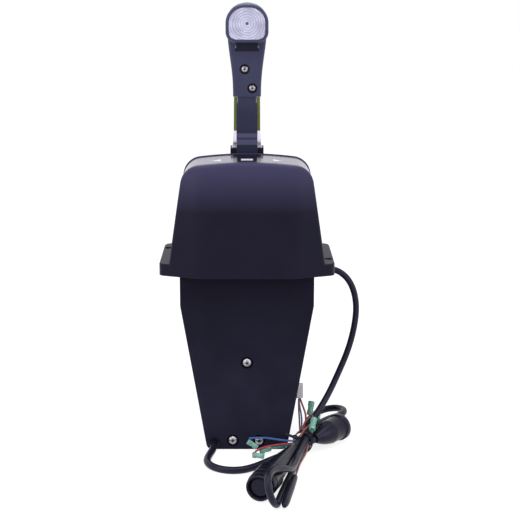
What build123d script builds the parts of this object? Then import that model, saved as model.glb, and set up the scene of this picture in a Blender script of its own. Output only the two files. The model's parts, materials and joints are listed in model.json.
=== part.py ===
from build123d import *
import os
from math import cos, pi, radians, sin, sqrt, tan

# Single-lever outboard control for deck mounting: a housing on a deck flange, a lower
# box with the gear that works the shift and throttle cables, and a lever with a grip.
# Millimetres. X runs across the lever's swing (forward is -X), Y from the grip's free
# end towards the lever's side, Z up. The origin is on the floor under the flange centre.

# ---- clearances -------------------------------------------------------------------
touch_gap = 0.3            # pieces that move past each other
running_gap = 0.05         # radial, shaft in its bush
hole_gap = 0.1             # radial, screw in its hole

# ---- deck flange ------------------------------------------------------------------
deck_height = 185.0        # underside of the flange, which lies on the deck
flange_thick = 12.3
flange_half_width = 88.6
flange_half_depth = 63.0
seat_depth = 0.8           # the lower box sits this deep in the flange
seat_gap = 0.2
flange_edge_half = 47.0    # half length of the straight near and far edges
ear_half_depth = 47.4
ear_corner = 8.0
edge_corner = 40.0
opening_half_width = 54.0
opening_near = -44.0
opening_far = 20.0
opening_corner = 6.0
deck_hole_radius = 2.75
deck_hole_sink = 4.6
deck_hole_edge = 5.6       # from the ear's end
deck_hole_x = flange_half_width - deck_hole_edge
deck_hole_y = 26.0

# ---- housing ----------------------------------------------------------------------
arch_margin = 8.3          # ear length beyond the housing, at the deck
arch_half_width = flange_half_width - arch_margin
arch_draft = 8.4           # degrees, each side
arch_height = 113.7
arch_top = deck_height + arch_height
arch_top_radius = 391.0
arch_corner = 20.0
near_lean = 16.0           # how far the near face leans back at the top
near_round = 4.0
near_cheek_back = -38.0
cheek_wall = 3.0
far_cheek_front = 23.0
far_cheek_thick = 4.0
band_inset = 2.5
band_wall = 3.0
plate_thick = 1.5
plate_drop = 19.7
plate_low = arch_top - plate_drop
plate_end_gap = 0.3
mark_thick = 0.4
mark_y = -15.0
mark_half_depth = 7.0
centre_mark_half = 6.0
arrow_reach = 36.0
arrow_length = 9.5
apron_height = 26.0
apron_reach = 58.0
apron_foot = 3.0
apron_wall = 3.0
boss_radius = 30.0
boss_face = 34.0
side_screw_x = 56.0
side_screw_rise = 4.5
side_screw_z = deck_height + side_screw_rise
side_screw_radius = 1.6
side_screw_length = 9.0

# ---- lower box --------------------------------------------------------------------
box_margin = 20.9          # from the ear's end to the box's side
box_half_width = flange_half_width - box_margin
box_bend_drop = 31.0
box_bend = deck_height - box_bend_drop
box_foot_half = 41.3
box_corner = 6.0
box_edge_round = 2.0
box_wall = 2.5
box_near_margin = 10.0
box_near = box_near_margin - flange_half_depth
box_split = -6.0
box_far = 39.0
cover_screw_places = ((0.0, 94.6), (-14.8, 10.4), (12.6, 10.0))
recess_radius = 6.2
recess_depth = 1.0
pan_head_radius = 4.3
pan_head_height = 2.8
pan_shank_radius = 2.0
pan_shank_length = 10.0

# ---- frame plate and what it carries ----------------------------------------------
plate_near = -8.0
plate_far = -4.0
frame_top_drop = 9.7
frame_top = arch_top - frame_top_drop
frame_top_half = 44.0
frame_waist_half = 50.0
shoulder_reach = 12.0      # each side, over the flange
shoulder_height = 16.0
frame_box_gap = 6.0
foot_length = 14.0
foot_thick = 3.0
standoff_flats = 10.0
standoff_stud = 3.0
standoff_stud_reach = 6.0
frame_window_half = 16.0
frame_window_low = 40.0
frame_window_high = 80.0

# ---- lever shaft and gears --------------------------------------------------------
lever_axis_height = 71.0   # over the deck
lever_axis = deck_height + lever_axis_height
shaft_radius = 7.0
shaft_near = -27.0
shaft_far = 45.0
gear_module = 2.5
pinion_teeth = 14
sector_teeth = 30
sector_half_angle = 52.0
pressure_angle = 25.0
tooth_addendum = 0.8
tooth_dedendum = 1.1
tooth_backlash = 0.3
gear_near = 2.0
gear_width = 10.0
gear_hub_radius = 12.0
gear_hub_far = 19.5
bush_wall = 3.0
bush_collar = 3.5
frame_bush_near = -10.5
frame_bush_far = 1.5
hub_bush_near = 20.0
hub_bush_wall = 4.0
crank_near = -22.0
crank_width = 6.0
crank_length = 40.0
crank_hub_radius = 13.0
crank_end_radius = 8.0
detent_near = -14.0
detent_width = 3.0
detent_radius = 24.0
detent_notch = 3.0
detent_angles = (-32.0, 0.0, 32.0)
ring_groove_depth = 0.8
ring_width = 1.5
ring_wall = 3.0
ring_end = 1.2
sector_hub_radius = 10.0
sector_hub_near = -1.5
sector_hub_far = 13.5
sector_rim = 7.0
stud_radius = 5.0
stud_collar = 9.0
stud_head = 8.0
stud_head_thick = 2.2
shift_arm_length = 62.0
arm_end_radius = 8.0
pin_radius = 4.0
pin_head_radius = 6.0
pin_head_thick = 1.5
barrel_radius = 7.5
barrel_length = 11.4
swivel_stem_radius = 5.0
swivel_stem_length = 17.0
swivel_hole_radius = 2.6
swivel_hole_depth = 13.0

# ---- detent, switch, friction -----------------------------------------------------
roller_radius = 3.0
leaf_thick = 1.0
leaf_near = -15.0
leaf_far = -9.5
leaf_post_x = -36.0
leaf_post_radius = 4.0
switch_near = -15.0
switch_length = 20.0
switch_height = 18.0
switch_corner = 1.5
plunger_radius = 1.6
plunger_reach = 6.0
plunger_travel = 1.2
friction_near = 12.6
friction_width = 6.0
shoe_half_height = 8.0
shoe_length = 8.0
shoe_arc_gap = 0.3
friction_screw_radius = 2.5
friction_head_radius = 4.5
friction_head_thick = 3.0
friction_boss_half = 6.0
friction_boss_length = 14.0

# ---- cable blocks, gland and grommet ----------------------------------------------
cable_hole_radius = 7.0
cable_hole_relief = 1.5    # wider hole in the box's floor
block_half_width = 26.0
block_height = 21.5
block_corner = 3.0
throttle_cable_x = 16.0
shift_cable_x = -16.0
grommet_x = -34.5
grommet_z = 7.0
grommet_radius = 6.0
grommet_length = 7.0
grommet_flange = 2.0
gland_y = 22.0
gland_drop = 9.0
gland_z = deck_height - gland_drop
gland_radius = 6.5
gland_length = 9.0
gland_flange = 2.0

# ---- lever and handle -------------------------------------------------------------
hub_near = 34.3
hub_radius = 34.0
hub_body_far = 50.0
hub_cover_far = 60.0
hub_round = 4.0
neck_half = 17.5
neck_top = lever_axis + 47.0
arm_near = 37.0
arm_far = 46.0
arm_foot = lever_axis + 14.0
arm_foot_half = 15.6
arm_slim_low = lever_axis + 65.0
arm_slim_half = 13.9
arm_top = lever_axis + 142.0
arm_top_half = 12.6
strip_low = lever_axis + 65.0
strip_high = lever_axis + 100.5
strip_lip = 3.8
strip_thick = 0.8
tongue_half = 9.7
tongue_near = 33.0
handle_near = 30.0
handle_split = 41.5
handle_far = 53.0
handle_foot = lever_axis + 101.0
handle_foot_half = 14.6
handle_mid = lever_axis + 127.0
handle_mid_half = 15.8
handle_neck = lever_axis + 156.0
handle_neck_half = 19.5
handle_top = lever_axis + 196.6
handle_crown_half = 20.5
handle_round = 3.0
handle_screw_places = ((-2.4, lever_axis + 129.3), (5.5, lever_axis + 109.7))
handle_recess_radius = 5.0
handle_recess_depth = 3.0
handle_head_radius = 3.9
handle_head_height = 2.4
handle_shank_radius = 1.75
handle_shank_length = 14.0

# ---- grip -------------------------------------------------------------------------
grip_end = -58.0
grip_half_width = 20.5
grip_low = lever_axis + 160.6
grip_top_radius = 17.6
grip_low_radius = 10.0
grip_rim_round = 2.5
grip_waist = 1.2           # the grip is slimmer by this at its middle
grip_spigot = 4.0
cap_margin = 3.0
cap_depth = 3.0
cap_crown = 1.2
cap_dimple_radius = 2.0
cap_dimple_depth = 0.6

# ---- buttons ----------------------------------------------------------------------
trigger_near = -50.0
trigger_far = 18.0
trigger_low = lever_axis + 152.0
trigger_in_grip = 1.5
trigger_half = 10.4
trigger_lip_half = 11.8
trigger_lip_height = 2.5
trigger_flare = 1.3
trigger_travel = 4.0
rocker_y = -28.0
rocker_half_depth = 8.0
rocker_z = lever_axis + 176.0
rocker_half_height = 9.0
rocker_back = 15.0
rocker_swing = 8.0         # degrees
rocker_pin_radius = 1.5
rocker_pin_reach = 2.0
button_radius = 9.0
button_proud = 1.5
button_travel = 5.0
button_length = 7.0

# ---- leads ------------------------------------------------------------------------
trim_diameter = 6.8
harness_diameter = 7.5
wire_diameter = 2.0
trim_route = (
    (box_half_width + 9, gland_y, gland_z), (box_half_width + 23.3, gland_y, gland_z),
    (105, 21.5, gland_z - 7.5), (114, 20.5, gland_z - 22), (117.5, 18.5, gland_z - 42), (115, 15, 112), (108.5, 9, 89), (98, 0, 67), (86, -14, 46),
    (73, -31, 31), (63, -45, 23),
)
harness_route = (
    (grommet_x, box_near - 7, grommet_z), (grommet_x, box_near - 15.5, grommet_z), (-39, -81, 5), (-40.8, -94.5, 3.9),
    (-34.2, -107.9, 3.9), (-21, -116.1, 3.9), (-5.5, -116, 3.9), (7.6, -107.7, 3.9),
    (20, -94.5, 3.9), (33.5, -81.5, 4.3), (46, -71, 7),
)
blue_route = ((52, -61.5, 13), (40, -60.2, 12.8), (27, -58.8, 14.4), (14, -58.3, 15.8),
              (2, -58.8, 14.8))
red_route = ((50, -62, 11), (39, -63.5, 9), (28, -66, 6.5), (17, -68.5, 4.3), (7.5, -70.5, 3.2))
green_route = ((57, -61.6, 10), (49, -61.1, 8.8), (40.5, -60.9, 7.4), (32, -61, 6),
               (24, -61.6, 5))
connector_route = ((55.6, -20, 46), (58.5, -22.5, 38), (62, -29, 30), (61.5, -38, 23),
                   (60.5, -46, 18))
brown_route = ((62, -72, 13), (60.5, -85, 11), (56, -99, 9.5), (51.5, -113, 8.5), (48, -133, 7.6),
               (44, -152, 6.7))
wire_boot_start = (51.5, -113, 8.5)
wire_boot_end = (34, -199, 4.8)
hank_stations = (          # x, y, half width and height of the folded harness
    (32, -204, 8, 7), (35, -190, 15, 8), (39, -165, 12, 9), (46, -138, 9, 12),
    (49, -100, 13, 19), (58, -60, 11, 22), (72, -20, 12, 21), (87, 8, 17, 20), (93, 30, 13, 17),
)
hank_waist = 5             # the station under the tie
plug_end = (11, -183, 14.3)
plug_neck = (49, -80, 14.3)
boot_end = (99, -22, 14.4)
boot_neck = (72, -49, 14.4)
sleeve_places = (((0.6, -60, 12.2), (8, -1.5, -9)), ((7.8, -72.2, 3.2), (4, -9, 0)),
                 ((24, -61.5, 5), (-9.5, -2.5, -1.4)), ((69, 2, 14), (5, 18, 0)),
                 ((76, -6, 21.5), (5, 12, -1)), ((60, -20, 6), (3, 12, -1)))
tie_gap = 0.6
tie_thick = 1.4
tie_width = 4.8
sleeve_length = 10.5
sleeve_radius = 2.5


def along_x(profile, left, right):
    """Extrude a profile drawn in Y and Z from X=left to X=right."""
    return extrude(Plane.YZ.offset(left) * profile, right - left)


def along_y(profile, near, far):
    """Extrude a profile drawn in X and Z from Y=near to Y=far."""
    return extrude(Plane.XZ.offset(-far) * profile, far - near)


def along_z(profile, low, high):
    """Extrude a profile drawn in X and Y from Z=low to Z=high."""
    return extrude(Plane.XY.offset(low) * profile, high - low)


def disc_y(x, z, radius, near, far):
    """Round bar along Y."""
    return along_y(Pos(x, z) * Circle(radius), near, far)


def disc_z(x, y, radius, low, high):
    """Round bar along Z."""
    return along_z(Pos(x, y) * Circle(radius), low, high)


def disc_x(y, z, radius, left, right):
    """Round bar along X."""
    return along_x(Pos(y, z) * Circle(radius), left, right)


def block(x0, x1, y0, y1, z0, z1):
    """Box between two corners."""
    return Pos((x0 + x1) / 2, (y0 + y1) / 2, (z0 + z1) / 2) * Box(x1 - x0, y1 - y0, z1 - z0)


def group(solids):
    """Separate solids that share one node."""
    return Compound(children=[solid for item in solids for solid in item.solids()])


def link_face(start, start_radius, end, end_radius):
    """Flat link: the hull of two circles."""
    ends = Pos(*start) * Circle(start_radius) + Pos(*end) * Circle(end_radius)
    return make_hull(ends.edges())


def pan_screw(head_radius, head_height, shank_radius, shank_length):
    """Cross-recess pan head screw, head up, the head's seat at Z=0."""
    edge_height = head_height * 0.45
    crown = ThreePointArc((head_radius, edge_height), (head_radius * 0.72, head_height * 0.86),
                          (0, head_height))
    outline = Polyline((0, head_height), (0, -shank_length), (shank_radius, -shank_length),
                       (shank_radius, 0), (head_radius, 0), (head_radius, edge_height))
    body = revolve(Plane.XZ * make_face(Curve() + [crown, outline]), Axis.Z)
    slot_length = head_radius * 1.1
    slot_width = head_radius * 0.24
    slot = Pos(0, 0, head_height) * Box(slot_length, slot_width, head_height)
    return body - slot - Rot(0, 0, 90) * slot


# ---- outlines ---------------------------------------------------------------------
def flange_face(inset=0.0):
    """Plan outline of the deck flange."""
    half_w, half_d = flange_half_width, flange_half_depth
    corners = [(half_w, -ear_half_depth), (half_w, ear_half_depth), (flange_edge_half, half_d),
               (-flange_edge_half, half_d), (-half_w, ear_half_depth), (-half_w, -ear_half_depth),
               (-flange_edge_half, -half_d), (flange_edge_half, -half_d)]
    face = make_face(Polyline(*corners, close=True))
    ears = [v for v in face.vertices() if abs(v.X) > flange_edge_half + 1]
    face = fillet(ears, ear_corner)
    edges = [v for v in face.vertices() if abs(abs(v.X) - flange_edge_half) < 0.01]
    face = fillet(edges, edge_corner)
    return offset(face, -inset) if inset else face


def arch_face(inset=0.0, low=deck_height):
    """Front outline of the housing, drawn in X and Z; an inset one runs out below low."""
    slope = tan(radians(arch_draft))
    if inset:
        low -= inset + 1.0
    foot = arch_half_width - (low - deck_height) * slope
    shoulder = arch_half_width - (arch_top - deck_height) * slope
    shoulder_z = arch_top - arch_top_radius + sqrt(arch_top_radius ** 2 - shoulder ** 2)
    shoulder = arch_half_width - (shoulder_z - deck_height) * slope
    rim = Curve() + [
        Line((-foot, low), (foot, low)),
        Line((foot, low), (shoulder, shoulder_z)),
        ThreePointArc((shoulder, shoulder_z), (0, arch_top), (-shoulder, shoulder_z)),
        Line((-shoulder, shoulder_z), (-foot, low)),
    ]
    face = make_face(rim)
    face = fillet([v for v in face.vertices() if v.Y > deck_height + arch_corner], arch_corner)
    return offset(face, -inset) if inset else face


def near_envelope(inset=0.0):
    """The near cheek as a filled form: the arch behind a face that leans back."""
    half_w = flange_half_width + 20
    slope = (flange_half_depth - ear_half_depth) / (flange_half_width - flange_edge_half)
    side_y = -flange_half_depth + slope * (half_w - flange_edge_half)
    plan = make_face(Polyline(
        (half_w, flange_half_depth), (-half_w, flange_half_depth), (-half_w, side_y),
        (-flange_edge_half, -flange_half_depth), (flange_edge_half, -flange_half_depth),
        (half_w, side_y), close=True))
    fronts = [v for v in plan.vertices() if v.Y < -flange_half_depth + 0.01]
    plan = fillet(fronts, edge_corner)
    low = deck_height - 5
    high = arch_top + 3
    levels = 7
    sections = []
    for i in range(levels):
        z = low + (high - low) * i / (levels - 1)
        lean = near_lean * max(0.0, (z - deck_height) / (arch_top - deck_height)) ** 3
        sections.append(Pos(0, lean + inset, z) * plan)
    return loft(sections) & along_y(arch_face(inset), -flange_half_depth - 5, near_cheek_back)


def box_face(inset=0.0, top=deck_height + seat_depth):
    """Front outline of the lower box, drawn in X and Z."""
    taper = (box_half_width - box_foot_half) / box_bend
    side = inset * sqrt(1 + taper ** 2)
    foot = box_foot_half + taper * inset - side
    bend = box_half_width - inset
    bend_z = box_bend + (side - inset) / taper
    face = make_face(Polyline((foot, inset), (bend, bend_z), (bend, top),
                              (-bend, top), (-bend, bend_z), (-foot, inset), close=True))
    feet = [v for v in face.vertices() if v.Y < inset + 0.01]
    return fillet(feet, max(box_corner - inset, 1.0))


# ---- housing ----------------------------------------------------------------------
flange_top = deck_height + flange_thick


def box_seat():
    """Shallow seat for the lower box's top edge, so that the deck face is clear of it."""
    return block(-box_half_width - seat_gap, box_half_width + seat_gap, box_near - seat_gap,
                 box_far + seat_gap, deck_height - 1, deck_height + seat_depth)


def base_flange():
    plate = along_z(flange_face(), deck_height, flange_top)
    top_edges = plate.edges().filter_by(lambda e: abs(e.center().Z - flange_top) < 0.01)
    plate = chamfer(top_edges, 1.0)
    half = arch_half_width
    behind = block(-half, half, near_cheek_back + touch_gap, flange_half_depth,
                   deck_height, flange_top)
    inner_half = half - 3 * cheek_wall
    behind += block(-inner_half, inner_half, opening_near, near_cheek_back + 1,
                    deck_height, flange_top)
    ears = block(-flange_half_width, flange_half_width, -flange_half_depth,
                 flange_half_depth, deck_height, flange_top)
    rim = half - 2 * near_round
    ears -= block(-rim, rim, -flange_half_depth - 1, near_cheek_back, deck_height, flange_top)
    ears -= near_form()
    core = near_envelope(cheek_wall + touch_gap) + behind + ears
    plate = plate & core
    opening = Pos(0, (opening_near + opening_far) / 2) * RectangleRounded(
        2 * opening_half_width, opening_far - opening_near, opening_corner)
    plate -= along_z(opening, deck_height - 1, flange_top + 1)
    for side in (-1, 1):
        x, y = side * deck_hole_x, -side * deck_hole_y
        plate -= disc_z(x, y, deck_hole_radius, deck_height - 1, flange_top + 1)
        sink = deck_hole_sink - deck_hole_radius
        plate -= Pos(x, y, flange_top - sink / 2) * Cone(deck_hole_radius, deck_hole_sink, sink)
        plate -= disc_y(side * side_screw_x, side_screw_z, side_screw_radius + hole_gap,
                        -flange_half_depth, -flange_half_depth + 14)
    return plate - box_seat()


def near_form():
    """The near cheek as a filled form with its rim rounded."""
    cheek = near_envelope()
    rim = [e for e in cheek.edges()
           if e.center().Y < near_cheek_back - 1 and e.bounding_box().max.Z > deck_height + 1
           and e.bounding_box().max.Y < near_cheek_back - 0.5 and e.center().Z > deck_height + 1
           and not inner_seam(e)]
    return fillet(rim, near_round)


def near_cheek():
    cheek = near_form() - near_envelope(cheek_wall)
    for side in (-1, 1):
        cheek -= disc_y(side * side_screw_x, side_screw_z, side_screw_radius + hole_gap,
                        -flange_half_depth - 1, -flange_half_depth + 14)
    return cheek - box_seat()


def inner_seam(edge):
    """An edge inside the near face, between its flat middle and its swept sides."""
    mid = edge @ 0.5
    foot = arch_half_width - (mid.Z - deck_height) * tan(radians(arch_draft))
    top = arch_top - abs(mid.X) ** 2 / (2 * arch_top_radius)
    return abs(mid.X) < foot - arch_corner * 0.35 and mid.Z < top - 1.5


def side_screws():
    screws = []
    for side in (-1, 1):
        slope = (flange_half_depth - ear_half_depth) / (flange_half_width - flange_edge_half)
        skin = -flange_half_depth + slope * (side_screw_x - flange_edge_half)
        screws.append(disc_y(side * side_screw_x, side_screw_z, side_screw_radius,
                             skin + 0.6, skin + side_screw_length))
    return group(screws)


def top_band():
    ring = arch_face(band_inset) - arch_face(band_inset + band_wall)
    band = along_y(ring, near_cheek_back, far_cheek_front)
    half = arch_half_width + 10
    band -= block(-half, half, near_cheek_back - 1, far_cheek_front + 1, 0, flange_top)
    band -= disc_x(friction_near + friction_width / 2, lever_axis,
                   friction_head_radius + 1, 0, arch_half_width)
    return band


def indicator_plate():
    ring = arch_face(band_inset - plate_thick) - arch_face(band_inset)
    plate = along_y(ring, near_cheek_back + plate_end_gap, far_cheek_front - plate_end_gap)
    return plate & block(-100, 100, near_cheek_back, far_cheek_front, plate_low, arch_top + 1)


def indicator_marks():
    inset = band_inset - plate_thick
    ring = arch_face(inset - mark_thick) - arch_face(inset)
    skin = along_y(ring, near_cheek_back, far_cheek_front)
    half = mark_half_depth
    shapes = [Pos(0, mark_y) * Rectangle(2 * centre_mark_half, 2 * half * 0.6)]
    for side in (-1, 1):
        tip = side * arrow_reach
        base = side * (arrow_reach - arrow_length)
        shapes.append(make_face(Polyline((tip, mark_y), (base, mark_y - half),
                                         (base, mark_y + half), close=True)))
    return group([skin & along_z(shape, plate_low, arch_top + 2) for shape in shapes])


def apron_solid(shrink):
    """Concave skirt under the hub, as a filled form."""
    back = far_cheek_front + far_cheek_thick
    foot_z = flange_top + apron_foot - shrink
    reach = apron_reach - shrink
    head_z = flange_top + apron_height - shrink
    middle = (back + (reach - back) * 0.3, foot_z + (head_z - foot_z) * 0.3)
    low = flange_top - (1 if shrink else 0)
    rim = Curve() + [
        Polyline((back, head_z), (back, low), (reach, low), (reach, foot_z)),
        ThreePointArc((reach, foot_z), middle, (back, head_z)),
    ]
    form = along_x(make_face(rim), -arch_half_width, arch_half_width)
    form = form & along_y(arch_face(shrink, flange_top - 2), back, flange_half_depth)
    return form & along_z(flange_face(2.0 + shrink), flange_top - 2, arch_top)


def far_cheek():
    back = far_cheek_front + far_cheek_thick
    cheek = along_y(arch_face(0, flange_top), far_cheek_front, back)
    rim = cheek.edges().filter_by(lambda e: e.center().Z > flange_top + 1
                                  and abs((e @ 0.5).Y - back) < 0.01)
    cheek = fillet(rim, 1.5)
    cheek += disc_y(0, lever_axis, boss_radius, back, boss_face)
    cheek += apron_solid(0)
    cheek -= apron_solid(apron_wall)
    cheek -= disc_y(0, lever_axis, shaft_radius + hub_bush_wall, far_cheek_front - 1, boss_face + 1)
    y = friction_near + friction_width / 2
    x1 = friction_boss_x()
    boss = block(x1, x1 + friction_boss_length, y - friction_boss_half, far_cheek_front,
                 lever_axis - friction_boss_half, lever_axis + friction_boss_half)
    boss -= disc_x(y, lever_axis, friction_screw_radius + hole_gap, x1 - 1, arch_half_width)
    return cheek + boss


# ---- lower box --------------------------------------------------------------------
def box_tray(near, far):
    """One half of the lower box; near is the closed end if it is the smaller value."""
    closed_near = near == box_near
    tray = along_y(box_face(), near, far)
    face_y = near if closed_near else far
    rim = tray.edges().filter_by(lambda e: abs((e @ 0.5).Y - face_y) < 0.01
                                 and (e @ 0.5).Z < deck_height - 0.01)
    tray = fillet(rim, box_edge_round)
    inner = box_face(box_wall, deck_height + seat_depth + 1)
    tray -= along_y(inner, near + box_wall if closed_near else near - 1,
                    far + 1 if closed_near else far - box_wall)
    direction = -1 if closed_near else 1
    for x, z in cover_screw_places:
        outer = face_y + direction
        tray -= disc_y(x, z, recess_radius, *sorted((outer, face_y - direction * recess_depth)))
        tray -= disc_y(x, z, pan_shank_radius + hole_gap,
                       *sorted((outer, face_y - direction * (box_wall + 1))))
    return tray


def lower_cover_near():
    tray = box_tray(box_near, box_split)
    hole = cable_hole_radius + cable_hole_relief
    tray -= disc_z(throttle_cable_x, throttle_line(), hole, -1, box_wall + 1)
    return tray - disc_y(grommet_x, grommet_z, grommet_radius - grommet_flange + hole_gap,
                         box_near - 1, box_near + box_wall + 1)


def lower_cover_far():
    tray = box_tray(box_split, box_far)
    hole = cable_hole_radius + cable_hole_relief
    tray -= disc_z(shift_cable_x, shift_line(), hole, -1, box_wall + 1)
    return tray - disc_x(gland_y, gland_z, gland_radius - gland_flange + hole_gap,
                         box_half_width - box_wall - 1, box_half_width + 1)


def cover_screws():
    screw = pan_screw(pan_head_radius, pan_head_height, pan_shank_radius, pan_shank_length)
    placed = []
    for x, z in cover_screw_places:
        placed.append(Pos(x, box_near + recess_depth, z) * Rot(90, 0, 0) * screw)
        placed.append(Pos(x, box_far - recess_depth, z) * Rot(-90, 0, 0) * screw)
    return group(placed)


def cable_block(near, far, x, y):
    """Clamp block on the box's floor with the bore that holds a cable's end fitting."""
    low, high = box_wall, box_wall + block_height
    form = block(-block_half_width, block_half_width, near, far, low, high)
    form = fillet(form.edges().filter_by(Axis.Y).sort_by(Axis.Z)[-2:], block_corner)
    form -= disc_z(x, y, cable_hole_radius, low - 1, high + 1)
    depth = pan_shank_length - box_wall + recess_depth + 0.5
    for sx, sz in cover_screw_places[1:]:
        screw_hole = (near - 1, near + depth) if near < box_split else (far - depth, far + 1)
        form -= disc_y(sx, sz, pan_shank_radius + hole_gap, *screw_hole)
    return form


def throttle_cable_block():
    return cable_block(box_near + box_wall, plate_near, throttle_cable_x, throttle_line())


def shift_cable_block():
    return cable_block(plate_far, box_far - box_wall, shift_cable_x, shift_line())


def harness_grommet():
    inner = box_near + box_wall
    body = disc_y(grommet_x, grommet_z, grommet_radius, box_near - grommet_flange, box_near)
    body += disc_y(grommet_x, grommet_z, grommet_radius - grommet_flange, box_near, inner)
    nose_radius = harness_diameter / 2 + 1.0
    nose = disc_y(grommet_x, grommet_z, nose_radius, box_near - grommet_length,
                  box_near - grommet_flange)
    return body + nose


def lead_gland():
    wall = box_half_width
    body = disc_x(gland_y, gland_z, gland_radius, wall, wall + gland_flange)
    body += disc_x(gland_y, gland_z, gland_radius - gland_flange, wall - box_wall, wall)
    nose = Pos(wall + gland_flange + (gland_length - gland_flange) / 2, gland_y, gland_z) * Rot(
        0, 90, 0) * Cone(gland_radius - 1, trim_diameter / 2 + 0.8, gland_length - gland_flange)
    return body + nose


# ---- frame ------------------------------------------------------------------------
def frame_plate():
    shoulder = opening_half_width + shoulder_reach
    taper = (box_half_width - box_foot_half) / box_bend
    bend_half = min(frame_waist_half, box_half_width - box_wall - frame_box_gap)
    foot_half = box_foot_half - box_wall - frame_box_gap + taper * box_wall
    right = [(foot_half, box_wall), (bend_half, box_bend - 20), (bend_half, flange_top),
             (shoulder, flange_top), (shoulder, flange_top + shoulder_height),
             (frame_top_half, frame_top - 20), (frame_top_half - 8, frame_top)]
    left = [(-x, z) for x, z in reversed(right)]
    plate = along_y(make_face(Polyline(*right, *left, close=True)), plate_near, plate_far)
    plate -= disc_y(0, lever_axis, shaft_radius + bush_wall, plate_near - 1, plate_far + 1)
    plate -= disc_y(0, sector_axis(), stud_radius, plate_near - 1, plate_far + 1)
    x, z = cover_screw_places[0]
    plate -= disc_y(x, z, standoff_stud + hole_gap, plate_near - 1, plate_far + 1)
    window = Pos(0, (frame_window_low + frame_window_high) / 2) * RectangleRounded(
        2 * frame_window_half, frame_window_high - frame_window_low, 5)
    plate -= along_y(window, plate_near - 1, plate_far + 1)
    for side in (-1, 1):
        inner, outer = sorted((side * (opening_half_width + 1), side * shoulder))
        plate += block(inner, outer, plate_near - foot_length, plate_near,
                       flange_top, flange_top + foot_thick)
        plate -= disc_z((inner + outer) / 2, plate_near - foot_length / 2,
                        pan_shank_radius + hole_gap, flange_top, flange_top + foot_thick + 1)
    return plate


def frame_screws():
    screw = pan_screw(pan_head_radius, pan_head_height, pan_shank_radius, foot_thick)
    x = opening_half_width + (shoulder_reach + 1) / 2
    y = plate_near - foot_length / 2
    z = flange_top + foot_thick
    return group([Pos(side * x, y, z) * screw for side in (-1, 1)])


def cover_standoffs():
    x, z = cover_screw_places[0]
    hexagon = Pos(x, z) * RegularPolygon(standoff_flats / 2, 6, major_radius=False)
    hole = pan_shank_radius + hole_gap
    near_end, far_end = box_near + box_wall, box_far - box_wall
    near_post = along_y(hexagon, near_end, plate_near)
    near_post += disc_y(x, z, standoff_stud, plate_near, plate_far + standoff_stud_reach)
    near_post -= disc_y(x, z, hole, near_end - 1, near_end + pan_shank_length)
    far_post = along_y(hexagon, plate_far, far_end)
    far_post -= disc_y(x, z, standoff_stud + hole_gap, plate_far - 1,
                       plate_far + standoff_stud_reach + 1)
    far_post -= disc_y(x, z, hole, far_end - pan_shank_length, far_end + 1)
    return group([near_post, far_post])


def frame_bush():
    bore = shaft_radius + running_gap
    bush = disc_y(0, lever_axis, shaft_radius + bush_wall, frame_bush_near, frame_bush_far)
    bush += disc_y(0, lever_axis, shaft_radius + bush_wall + bush_collar, frame_bush_near, plate_near)
    return bush - disc_y(0, lever_axis, bore, frame_bush_near - 1, frame_bush_far + 1)


def hub_bush():
    bore = shaft_radius + running_gap
    outer = shaft_radius + hub_bush_wall
    bush = disc_y(0, lever_axis, outer, hub_bush_near, boss_face)
    bush += disc_y(0, lever_axis, outer + bush_collar, hub_bush_near, far_cheek_front)
    return bush - disc_y(0, lever_axis, bore, hub_bush_near - 1, boss_face + 1)


def detent_spring():
    """Leaf spring on a post, with the roller that rides on the detent disc."""
    roller_z = lever_axis + detent_radius + touch_gap + roller_radius
    roller = disc_y(0, roller_z, roller_radius, leaf_near, leaf_far)
    leaf_z = roller_z + roller_radius
    leaf = along_y(Pos(leaf_post_x / 2, leaf_z + leaf_thick / 2)
                   * Rectangle(-leaf_post_x, leaf_thick), leaf_near, leaf_far)
    post = disc_y(leaf_post_x, leaf_z + leaf_thick - leaf_post_radius, leaf_post_radius,
                  leaf_near, plate_near)
    return roller + leaf + post


def neutral_switch():
    x0 = switch_x()
    body = block(x0, x0 + switch_length, switch_near, plate_near,
                 lever_axis - switch_height / 2, lever_axis + switch_height / 2)
    body = fillet(body.edges().filter_by(Axis.Y), switch_corner)
    y = (switch_near + plate_near) / 2
    return body - disc_x(y, lever_axis, plunger_radius + hole_gap, x0 - 1,
                         x0 + plunger_reach + plunger_travel)


def switch_plunger():
    x0 = switch_x()
    y = (switch_near + plate_near) / 2
    reach = detent_radius + touch_gap
    return disc_x(y, lever_axis, plunger_radius, reach, x0 + plunger_reach)


def switch_x():
    return detent_radius + touch_gap + plunger_travel + 4.0


def friction_boss_x():
    foot = arch_half_width - (lever_axis - deck_height) * tan(radians(arch_draft))
    return foot - band_inset - band_wall - friction_head_thick - friction_boss_length - 3.0


def friction_shoe():
    x0 = gear_hub_radius + shoe_arc_gap
    far = friction_near + friction_width
    shoe = block(0, x0 + shoe_length, friction_near, far,
                 lever_axis - shoe_half_height, lever_axis + shoe_half_height)
    return shoe - disc_y(0, lever_axis, x0, friction_near - 1, far + 1)


def friction_screw():
    y = friction_near + friction_width / 2
    start = gear_hub_radius + shoe_arc_gap + shoe_length
    end = friction_boss_x() + friction_boss_length
    screw = disc_x(y, lever_axis, friction_screw_radius, start, end)
    screw += disc_x(y, lever_axis, friction_head_radius, end, end + friction_head_thick)
    slot = block(end + friction_head_thick - 1.2, end + friction_head_thick + 1,
                 y - friction_head_radius, y + friction_head_radius,
                 lever_axis - 0.6, lever_axis + 0.6)
    return screw - slot


# ---- gears and cranks -------------------------------------------------------------
def sector_axis():
    return lever_axis - gear_module * (pinion_teeth + sector_teeth) / 2


def involute_point(base, angle):
    return (base * (cos(angle) + angle * sin(angle)), base * (sin(angle) - angle * cos(angle)))


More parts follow.
